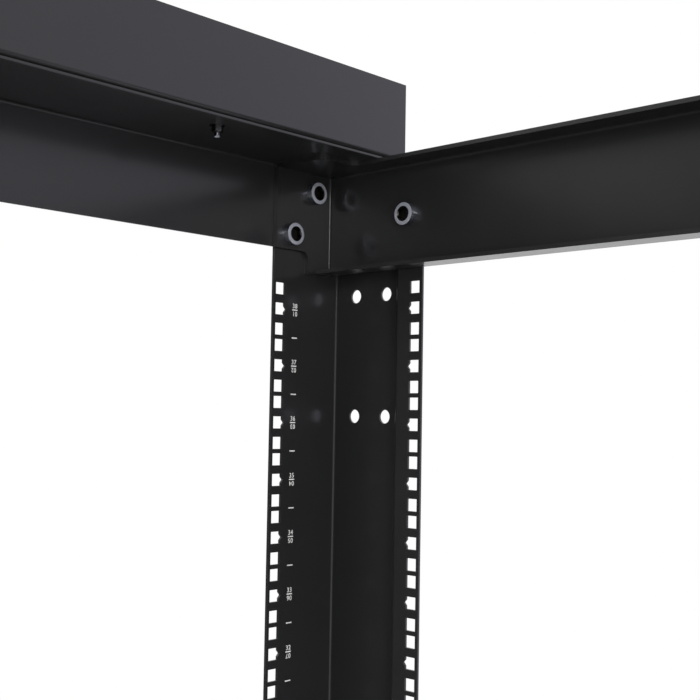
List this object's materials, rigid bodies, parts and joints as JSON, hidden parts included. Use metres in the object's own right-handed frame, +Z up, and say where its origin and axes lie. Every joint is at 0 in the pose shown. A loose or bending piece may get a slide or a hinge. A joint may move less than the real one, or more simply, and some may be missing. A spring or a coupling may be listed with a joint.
{
  "type": "four post open frame rack",
  "caption": "Tall open equipment rack: square-punched bent posts at the corners, joined top and bottom by side beams, angles and channels.",
  "frame": {"origin": "on the floor at the middle of the footprint", "axes": "+Z up, -Y towards the front, +X to the right seen from the front"},
  "size_m": [0.595, 0.744, 1.9987],
  "materials": {
    "powder_coat": "satin"
  },
  "bodies": {
    "root": {"post_front_left": "powder_coat", "post_front_right": "powder_coat", "post_rear_left": "powder_coat", "post_rear_right": "powder_coat", "side_beam_top_left": "powder_coat", "side_beam_top_right": "powder_coat", "side_beam_bottom_left": "powder_coat", "side_beam_bottom_right": "powder_coat", "cross_angle_top_front": "powder_coat", "cross_angle_top_rear": "powder_coat", "cross_angle_bottom_front": "powder_coat", "cross_angle_bottom_rear": "powder_coat", "cross_channel_top_front": "powder_coat", "cross_channel_top_rear": "powder_coat", "cross_channel_bottom_front": "powder_coat", "cross_channel_bottom_rear": "powder_coat"}
  },
  "joints": []
}
